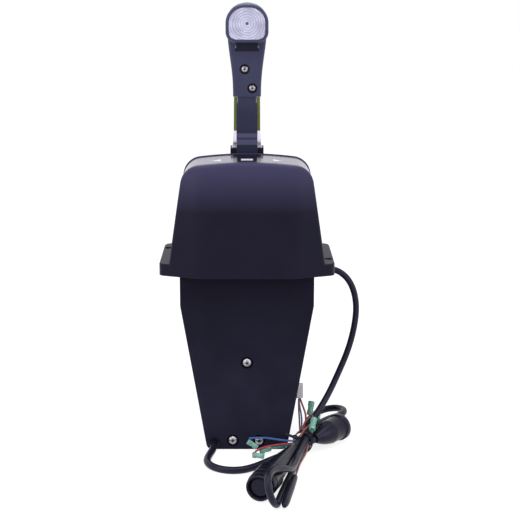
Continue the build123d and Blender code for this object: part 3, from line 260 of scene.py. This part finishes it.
def spun_material(name, dark, light, centre, centre_shade, pitch):
    """Spun metal on a face across X and Z: rings, pitch apart, round a centre with a small dark
    spot of painted shade for a pit there, all in metres."""
    ring_scale = 0.314  # Wave Texture has one ring per this distance at a scale of 1
    ring_tone = 0.34    # how much of the dark colour a ring takes
    ring_depth = 0.00015
    m = finish_material(name, light, 0.3, metal=0.7, mottle=0.2, mottle_scale=110, bump=0.05,
                        marks=((centre, round_y, centre_shade, dark),))
    t = m.node_tree
    n, link = t.nodes, t.links
    shader = n["Principled BSDF"]
    where = n.new("ShaderNodeTexCoord")
    from_centre = offset_from(t, where, centre, round_y)
    rings = n.new("ShaderNodeTexWave")
    rings.wave_type = "RINGS"
    rings.rings_direction = "SPHERICAL"
    rings.inputs["Scale"].default_value = ring_scale / pitch
    rings.inputs["Distortion"].default_value = 3.2
    rings.inputs["Detail"].default_value = 4
    rings.inputs["Detail Scale"].default_value = 0.9
    link.new(from_centre, rings.inputs["Vector"])
    tone = n.new("ShaderNodeMapRange")
    tone.inputs["To Min"].default_value = 0.0
    tone.inputs["To Max"].default_value = ring_tone
    link.new(rings.outputs["Fac"], tone.inputs["Value"])
    mix = n.new("ShaderNodeMix")
    mix.data_type = "RGBA"
    link.new(tone.outputs["Result"], mix.inputs["Factor"])
    link.new(shader.inputs["Base Color"].links[0].from_socket, mix.inputs["A"])
    mix.inputs["B"].default_value = srgb(*dark)
    link.new(mix.outputs["Result"], shader.inputs["Base Color"])
    lift = n.new("ShaderNodeBump")
    lift.inputs["Strength"].default_value = 0.5
    lift.inputs["Distance"].default_value = ring_depth
    link.new(rings.outputs["Fac"], lift.inputs["Height"])
    link.new(lift.outputs["Normal"], shader.inputs["Normal"])
    return m


# x and z of screw heads, in metres, with the reach of the painted shade in the recesses round them
# and in their drives
box_screws = ((0, 0.0946), (-0.0148, 0.0104), (0.0126, 0.01))
box_screw_shadow = 0.0062
handle_screws = ((-0.0024, 0.3853), (0.0055, 0.3657))
handle_recess_shade = 0.0053
drive_shade_reaches = (0.0013, 0.0014, 0.0014, 0.001, 0.001)
grip_disc_centre = (0, 0, 0.4346)

looks = {
    # The housing turns lighter towards its top: painted light from above, in part over the
    # plastic's own tone.
    "housing": finish_material("housing_plastic", (23, 21, 34), 0.42, mottle=0.12, grain=1500,
                               bump=0.35, specular=0.14, painted_light_fade=(0.25, 0.31, (70, 66, 97))),
    # The dark band across the middle of the top plate is a painted reflection of the lever's root
    # in its gloss.
    "top_plate": finish_material("plate_gloss", (112, 100, 122), 0.16, mottle=0.08, bump=0.02,
                                 coat=0.12, specular=0.2,
                                 marks=(((0, 0, 0), across_x, 0.0142, (17, 15, 22)),)),
    "white_mark": finish_material("mark_print", (232, 230, 238), 0.45, mottle=0.03),
    # The box turns darker towards its top, painted shade under the housing's flange, and the
    # near-black rings round its screws are painted shadow.
    "box_paint": finish_material("box_powder_coat", (37, 36, 51), 0.5, mottle=0.2,
                                 mottle_scale=26, grain=1100, bump=0.3, specular=0.06,
                                 painted_light_fade=(0.05, 0.19, (21, 20, 30)),
                                 marks=[((x, 0, z), round_y, box_screw_shadow, (7, 7, 9))
                                        for x, z in box_screws]),
    # The dark spots in the screw heads are painted shade in their drives.
    "zinc_steel": finish_material("zinc_plate", (168, 165, 172), 0.3, metal=0.9, bump=0.08,
                                  marks=[((x, 0, z), round_y, reach, (34, 30, 32))
                                         for (x, z), reach in zip(box_screws + handle_screws,
                                                                  drive_shade_reaches)]),
    "frame_steel": finish_material("sheet_steel", (160, 160, 165), 0.35, metal=0.9, bump=0.08),
    "gear_steel": finish_material("machined_steel", (140, 140, 145), 0.32, metal=0.9,
                                  bump=0.08),
    "chrome": finish_material("chrome_plate", (228, 224, 236), 0.1, metal=1.0, mottle=0.04,
                              bump=0.02),
    # Lime-green colour for the strips along the lever's sides.
    "lime": finish_material("lime_green", (124, 136, 60), 0.4, mottle=0.1, bump=0.1,
                            specular=0.2),
    # The handle turns darker below z 0.34, on the tongue: painted shade, in part over the tongue's
    # own tone. The near-black rings round its screws are painted shade in their recesses.
    "handle": finish_material("handle_plastic", (62, 63, 88), 0.36, mottle=0.08, grain=1300,
                              bump=0.2, specular=0.3, painted_light_fade=(0.36, 0.34, (44, 45, 66)),
                              marks=[((x, 0, z), round_y, handle_recess_shade, (13, 13, 19))
                                     for x, z in handle_screws] +
                                    # A light band with a thin darker line through it, across the
                                    # tongue near z 0.313, is a painted reflection.
                                    [((0, 0, 0.3125), across_z, 0.006, (88, 86, 116)),
                                     ((0, 0, 0.313), across_z, 0.0012, (60, 60, 84))]),
    "hub": finish_material("hub_plastic", (24, 26, 36), 0.42, mottle=0.1, grain=1200,
                           bump=0.25, specular=0.2),
    "brass": finish_material("turned_brass", (190, 160, 95), 0.3, metal=0.95, bump=0.06),
    "nylon": finish_material("natural_nylon", (205, 202, 190), 0.5, mottle=0.05, bump=0.1),
    "switch_case": finish_material("switch_case", (38, 38, 42), 0.45, mottle=0.1),
    "block_nylon": finish_material("block_nylon", (52, 53, 60), 0.5, mottle=0.1),
    "cable_black": finish_material("cable_jacket", (27, 27, 41), 0.34, specular=0.25,
                                   mottle=0.14, mottle_scale=90, bump=0.12),
    "plug_black": finish_material("plug_rubber", (20, 19, 31), 0.28, specular=0.25,
                                  mottle=0.14, mottle_scale=80, bump=0.2),
    "tie_black": finish_material("tie_nylon", (18, 18, 23), 0.3, specular=0.35, mottle=0.1,
                                 bump=0.1),
    "wire_blue": finish_material("wire_blue", (52, 95, 164), 0.35, mottle=0.08, bump=0.05),
    "wire_red": finish_material("wire_red", (170, 48, 60), 0.35, mottle=0.08, bump=0.05),
    "wire_green": finish_material("wire_teal", (35, 130, 122), 0.35, mottle=0.08, bump=0.05),
    "wire_brown": finish_material("wire_brown", (140, 78, 66), 0.35, mottle=0.08, bump=0.05),
    "sleeve_green": finish_material("sleeve_vinyl", (140, 200, 182), 0.25, mottle=0.25,
                                    mottle_scale=250, clear=0.35),
    "connector_white": finish_material("connector_nylon", (226, 222, 226), 0.4, mottle=0.05),
    "grip_disc": spun_material("spun_disc", dark=(84, 84, 118), light=(205, 203, 228),
                               centre=grip_disc_centre, centre_shade=0.0013, pitch=0.0025),
}
slots = {s["node"]: s["material_slot"] for s in frame["record"]["subparts"]}
for node, ob in frame["nodes"].items():
    for slot in ob.material_slots:
        slot.material = looks["plug_black" if node == "flange_side_screws" else slots[node]]


def dress(ob, slot_name, body="root"):
    ob.data.materials.append(looks[slot_name])
    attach(ob, body)
    return ob


# ---- cords ------------------------------------------------------------------------
# Routes, diameters and places are in mm. The trim cable hangs from the gland to the tie,
# folds once past the plug, from over its side down to the floor, and ends in the boot. The
# harness cable loops on the floor, folds past the tie and ends in the plug.
trim_diameter = 6.8
harness_diameter = 7.5
wire_diameter = 2.0
switch_wire_diameter = 1.8
plug_mouth, plug_axis = (11, -183, 14.3), (20, 55, 0)
boot_mouth, boot_axis = (99, -22, 14.4), (-31, -39.3, 0)
trim_route = ((76.7, 22, 176), (91, 22, 176), (105, 21.5, 168.5), (114, 20.5, 154),
              (117.5, 18.5, 134), (115, 15, 112), (108.5, 9, 89), (98, 0, 67), (86, -14, 46),
              (73, -31, 31), (63, -45, 23), (61.5, -61, 16.5), (57.8, -75, 14.8),
              (54.2, -90, 14.5), (49.6, -110, 15), (46, -130, 15), (42, -147, 18.5),
              (35.5, -160, 24.5), (24.5, -176, 30.5), (18.6, -195.1, 31.2),
              (19.5, -203.9, 23.1), (23, -204.7, 11.7), (27.3, -196.9, 3.6), (29, -188, 3.6),
              (31, -178, 3.6), (33.8, -165, 3.6), (37, -150, 3.6), (40.5, -135, 3.6),
              (44.5, -118, 3.7), (49, -100, 4), (54, -81, 6), (59, -70, 8.2),
              (63, -62.5, 10.8), (68.5, -59.5, 13.6), (75, -52.4, 14.4))
harness_route = ((-34.5, -60, 7), (-34.5, -68.5, 7), (-39, -81, 5), (-40.8, -94.5, 3.9),
                 (-34.2, -107.9, 3.9), (-21, -116.1, 3.9), (-5.5, -116, 3.9),
                 (7.6, -107.7, 3.9), (20, -94.5, 3.9), (33.5, -81.5, 4.3), (46, -71, 4.3),
                 (54, -62, 4), (60, -48, 4), (66, -30, 5), (69, -5, 8), (73.7, 24.5, 10),
                 (84.2, 34.8, 12), (98.5, 32.8, 15), (107, 20.2, 17), (102.5, 4.3, 17),
                 (88.5, -6.5, 17), (75.5, -23, 17), (64, -41, 17), (54.5, -62, 14.5),
                 (47, -85, 14.3), (38, -108, 14.3), (31, -127, 14.3))
# name: slot, the node it stands for, route from the bundle to its end
wires = {
    "blue": ("wire_blue", "trim_wire_blue",
             ((52, -61.5, 13), (40, -60.2, 12.8), (27, -58.8, 14.4), (14, -58.3, 15.8),
              (2, -58.8, 14.8))),
    "red": ("wire_red", "trim_wire_red",
            ((50, -62, 11), (39, -63, 10.5), (29, -65, 10), (19, -67.5, 9.2),
             (10.5, -70.5, 7.2), (5.5, -75, 3.8))),
    "teal": ("wire_green", "trim_wire_green",
             ((57, -61.6, 10), (49, -61.1, 8.8), (40.5, -60.9, 7.4), (32, -61, 6),
              (24, -61.6, 5))),
    "brown": ("wire_brown", "brown_wire",
              ((62, -72, 13), (60.5, -85, 11), (56, -99, 9.5), (51.5, -113, 8.5), (48, -133, 7.6),
               (44, -152, 6.7))),
    "connector": ("wire_red", "connector_wire",
                  ((60.5, -46, 18), (61.5, -38, 23), (62, -29, 30), (58.5, -22.5, 38),
                   (55.6, -20, 46))),
}
# name: slot, the direction of the sleeve on its end, route
right_leads = {
    "brown_lead_a": ("wire_brown", (1.5, 4, 9),
                     ((58, -52, 20), (60, -36, 19), (63.5, -22, 19), (67, -10, 22))),
    "brown_lead_b": ("wire_brown", (1.5, 13, 1.5),
                     ((54, -70, 21), (58, -60, 24.2), (64, -50, 25), (69, -41, 24.8),
                      (73.5, -30, 24))),
    "brown_lead_c": ("wire_brown", (-2.5, -11, -6.5),
                     ((57, -52, 21), (59.5, -43, 25), (63.5, -36, 29), (67.5, -36.5, 33),
                      (69.8, -44.5, 31))),
}
switch_leads = {
    "blue_lead_d": ("wire_blue", ((56.5, -48, 20.5), (57.5, -38, 24), (57, -29, 31),
                                  (55.4, -23, 38), (54.8, -20.5, 45))),
    "brown_lead_e": ("wire_brown", ((55, -50, 19.5), (55, -40, 22), (55, -31, 27),
                                    (54.4, -24.5, 36), (54.6, -21, 44))),
}


def free_cord(name, slot_name, replaced, diameter, route, **facts):
    ob = dress(spline(name, route, diameter), slot_name)
    line = centreline(ob)
    if replaced:
        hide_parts(*replaced)


def vinyl_sleeve(name, start, towards, length=12, radius=2.9):
    """Clear crimp sleeve past a wire's end, with a rolled mouth and a waist."""
    rows = ((0, 1.3), (0.2, radius - 0.2), (0.8, radius), (0.3 * length, radius - 0.1),
            (0.42 * length, radius - 0.5), (0.55 * length, radius - 0.45), (0.68 * length, radius),
            (length - 0.6, radius), (length, radius - 0.3), (length, radius - 0.8),
            (length - 2, radius - 1), (length - 2, 0))
    return dress(lathe(name, rows, start, towards, sides=28), "sleeve_green")


main_plug = dress(lathe("main_plug_shell", (
    (7, 0), (7, 9.6), (0.2, 10.2), (-0.6, 10.9), (-0.6, 12.3), (0.2, 12.9), (3.2, 13.0),
    (3.5, 12.4), (5.2, 12.4), (5.5, 13.5), (6.3, 13.9), (12.6, 13.9), (13, 13.2), (14.2, 13.2),
    (14.6, 13.9), (31.5, 13.9), (32.2, 13.4), (32.4, 12.3), (33.8, 12.0), (34.4, 12.6),
    (36.2, 12.6), (36.8, 12.0), (44, 11.6), (60, 10.2), (78, 7.9), (96, 5.9), (106, 5.0),
    (108, 4.6), (108, 3.6)), plug_mouth, plug_axis, sides=64), "plug_black")
dress(lathe("plug_core", ((2.2, 0), (2.2, 8.4), (2.6, 8.8), (6.9, 8.8), (6.9, 0)),
            plug_mouth, plug_axis), "plug_black")
plug_boot = dress(lathe("boot_shell", (
    (4, 0), (4, 11.2), (0.4, 11.9), (0, 12.5), (0.3, 13.6), (1.2, 14.2), (6, 14.2), (7, 13.8),
    (7.6, 12.9), (9, 12.7), (21, 12.3), (23, 12.6), (25, 12.1), (31, 10.9), (38, 8.6),
    (42, 6.8), (45, 5.4), (47, 4.5), (47, 3.3)), boot_mouth, boot_axis, sides=64),
                  "plug_black")
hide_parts("main_plug")
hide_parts("plug_boot")
brown_sleeve = dress(lathe("brown_wire_sleeve", (
    (0, 1.2), (0.4, 2.8), (4, 3.3), (24, 3.7), (52, 3.8), (58, 3.4), (62, 2.2), (63, 0)),
    start=(46.3, -139.5, 7.4), axis=(-17, -86, -3.5), sides=28), "cable_black")
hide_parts("wire_boot")
free_cord("trim_cable", "cable_black", ("trim_lead", "harness_hank"), trim_diameter,
          trim_route, far_end="connector", stiffness="limp", lay="loose",
          with_pieces=[plug_boot])
free_cord("harness_cable", "cable_black", ("harness_lead",), harness_diameter, harness_route,
          far_end="plug", stiffness="limp", lay="loose", with_pieces=[main_plug])


def band_loop(name, centre, across, half, rise, section, turns=72):
    """A flat tie round a bundle: an oval, half wide and rise high from its centre, with a
    band of section = (width, thickness), in mm."""
    across = Vector(across).normalized()
    along = across.cross(up)
    bm = bmesh.new()
    rings = []
    for k in range(turns):
        angle = 2 * pi * k / turns
        out = across * cos(angle) * half + up * sin(angle) * rise
        normal = (across * cos(angle) * rise + up * sin(angle) * half).normalized()
        ring = []
        for w, h in ((-1, 0), (-0.8, 1), (0.8, 1), (1, 0)):
            ring.append(bm.verts.new((Vector(centre) + out + along * w * section[0] / 2 +
                                      normal * h * section[1]) / 1000))
        rings.append(ring)
    for k in range(turns):
        a, b = rings[k], rings[(k + 1) % turns]
        for j in range(4):
            bm.faces.new((a[j], a[(j + 1) % 4], b[(j + 1) % 4], b[j]))
    bmesh.ops.recalc_face_normals(bm, faces=bm.faces)
    return add_mesh(name, bm)


tie = dress(band_loop("tie_band", centre=(57.6, -60.8, 11.7), across=(80, -23, 0),
                      half=9.4, rise=10.5, section=(3.6, 1.1)), "tie_black")
dress(band_loop("tie_band_second", centre=(58.6, -57.0, 11.9), across=(80, -16, 6),
                half=9.6, rise=10.6, section=(2.6, 1.0)), "tie_black")
dress(lathe("tie_tail", ((0, 1.3), (1, 1.5), (9, 1.3), (11, 0.9), (11.5, 0)),
            start=(49.5, -58.5, 15.5), axis=(-9, 1.5, 3.5), sides=16), "tie_black")
dress(lathe("tie_knot", ((0, 0), (0.4, 1.6), (2.2, 2.5), (4.4, 2.4), (6, 1.5), (6.4, 0)),
            start=(52.5, -61.5, 16), axis=(-5, 3, 1), sides=20), "tie_black")
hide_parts("hank_tie")
sleeve_places = {  # mouth and direction
    "blue": ((0.6, -60, 12.2), (11, -3, -6.5)),
    "red": ((5.6, -75.4, 3.3), (10, -2.2, 0)),
    "teal": ((24, -61.6, 5), (-8, -5.2, -0.7)),
}
for name, (slot_name, node, route) in wires.items():
    if name == "brown":
        piece = brown_sleeve
    elif name == "connector":
        piece = "white_connector"
    else:
        piece = vinyl_sleeve(f"{name}_sleeve", *sleeve_places[name])
    free_cord(f"{name}_wire", slot_name, (node,), wire_diameter, route, far_end="connector",
              stiffness="limp", lay="loose", with_pieces=[piece])
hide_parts("bullet_sleeves")
for name, (slot_name, towards, route) in right_leads.items():
    piece = vinyl_sleeve(f"{name}_sleeve", route[-1], towards, length=15, radius=3.4)
    free_cord(name, slot_name, (), wire_diameter, route, far_end="connector", stiffness="limp",
              lay="loose", with_pieces=[piece])
for name, (slot_name, route) in switch_leads.items():
    free_cord(name, slot_name, (), switch_wire_diameter, route, far_end="connector",
              stiffness="limp", lay="loose", with_pieces=["white_connector"])


# ---- lever ------------------------------------------------------------------------
def rounded_plate(name, half_x, low, high, near, far, corner):
    """Upright plate in X and Z with rounded corners, in mm."""
    corner_steps = 6
    outline = []
    for side, z, start in ((1, high - corner, 0), (-1, high - corner, 0.5 * pi),
                           (-1, low + corner, pi), (1, low + corner, 1.5 * pi)):
        for k in range(corner_steps + 1):
            angle = start + k * pi / (2 * corner_steps)
            outline.append((side * (half_x - corner) + corner * cos(angle),
                            z + corner * sin(angle)))
    bm = bmesh.new()
    fronts = [bm.verts.new(mm(x, near, z)) for x, z in outline]
    backs = [bm.verts.new(mm(x, far, z)) for x, z in outline]
    bm.faces.new(fronts)
    bm.faces.new(backs[::-1])
    for k in range(len(outline)):
        n = (k + 1) % len(outline)
        bm.faces.new((fronts[n], fronts[k], backs[k], backs[n]))
    bmesh.ops.recalc_face_normals(bm, faces=bm.faces)
    ob = add_mesh(name, bm)
    bevel = ob.modifiers.new("edge", "BEVEL")
    bevel.width = 0.0003
    bevel.segments = 2
    return ob


# Faces in front of the CAD's handle and strips: the tongue's broad face, and the lips over
# the trigger and over the lime strips.
dress(rounded_plate("tongue_face", half_x=11.0, low=296.5, high=350, near=32.75, far=34.2,
                    corner=1.5), "handle", "lever")
dress(rounded_plate("trigger_lip", half_x=12.8, low=404.3, high=406.7, near=29.3, far=30.6,
                    corner=1.1), "handle", "lever")
dress(rounded_plate("strip_lip", half_x=13.8, low=356, high=357, near=35.7, far=37,
                    corner=0.4), "chrome", "lever")


# ---- floor and light --------------------------------------------------------------
def floor_material():
    """Pale and matt, with a glow that only the camera and reflections see."""
    glow_share = 0.6
    m = bpy.data.materials.new("pale_floor")
    m.use_nodes = True
    n, link = m.node_tree.nodes, m.node_tree.links
    shader = n["Principled BSDF"]
    shader.inputs["Base Color"].default_value = (0.86, 0.86, 0.87, 1)
    shader.inputs["Roughness"].default_value = 0.9
    shader.inputs["Specular IOR Level"].default_value = 0.1
    seen = n.new("ShaderNodeLightPath")
    any_ray = n.new("ShaderNodeMath")
    any_ray.operation = "MAXIMUM"
    link.new(seen.outputs["Is Camera Ray"], any_ray.inputs[0])
    link.new(seen.outputs["Is Glossy Ray"], any_ray.inputs[1])
    share = n.new("ShaderNodeMath")
    share.operation = "MULTIPLY"
    share.inputs[1].default_value = glow_share
    link.new(any_ray.outputs["Value"], share.inputs[0])
    glow = n.new("ShaderNodeEmission")
    glow.inputs["Strength"].default_value = 1.4
    both = n.new("ShaderNodeMixShader")
    link.new(share.outputs["Value"], both.inputs["Fac"])
    link.new(shader.outputs["BSDF"], both.inputs[1])
    link.new(glow.outputs["Emission"], both.inputs[2])
    link.new(both.outputs["Shader"], n["Material Output"].inputs["Surface"])
    return m


bm = bmesh.new()
for x, y in ((-4, -3), (4, -3), (4, 5), (-4, 5)):  # metres
    bm.verts.new((x, y, 0))
bm.faces.new(bm.verts)
floor = add_mesh("floor", bm)
floor.data.materials.append(floor_material())

world = bpy.data.worlds.new("studio")
scene.world = world
world.use_nodes = True
wn, wl = world.node_tree.nodes, world.node_tree.links
back = wn["Background"]
back.inputs["Color"].default_value = (0.92, 0.93, 1.0, 1)
back.inputs["Strength"].default_value = 0.55
white = wn.new("ShaderNodeBackground")  # what the camera and reflections see
white.inputs["Color"].default_value = (1, 1, 1, 1)
white.inputs["Strength"].default_value = 1.0
path = wn.new("ShaderNodeLightPath")
both = wn.new("ShaderNodeMixShader")
shown = wn.new("ShaderNodeMath")
shown.operation = "MAXIMUM"
wl.new(path.outputs["Is Camera Ray"], shown.inputs[0])
wl.new(path.outputs["Is Glossy Ray"], shown.inputs[1])
wl.new(shown.outputs["Value"], both.inputs["Fac"])
wl.new(back.outputs["Background"], both.inputs[1])
wl.new(white.outputs["Background"], both.inputs[2])
wl.new(both.outputs["Shader"], wn["World Output"].inputs["Surface"])


def lamp(name, at, towards, size, power):
    data = bpy.data.lights.new(name, "AREA")
    data.shape = "RECTANGLE"
    data.size, data.size_y = size
    data.energy = power
    ob = add(name, data)
    ob.location = at
    ob.rotation_euler = (Vector(towards) - Vector(at)).to_track_quat("-Z", "Y").to_euler()


lamp("top_softbox", at=(0, -0.25, 1.6), towards=(0, 0, 0.3), size=(1.6, 1.2), power=14)
lamp("left_softbox", at=(-1.4, -1.0, 0.9), towards=(0, 0, 0.25), size=(0.9, 1.2), power=9)
lamp("right_softbox", at=(1.4, -0.8, 0.8), towards=(0, 0, 0.2), size=(0.7, 1.2), power=6)
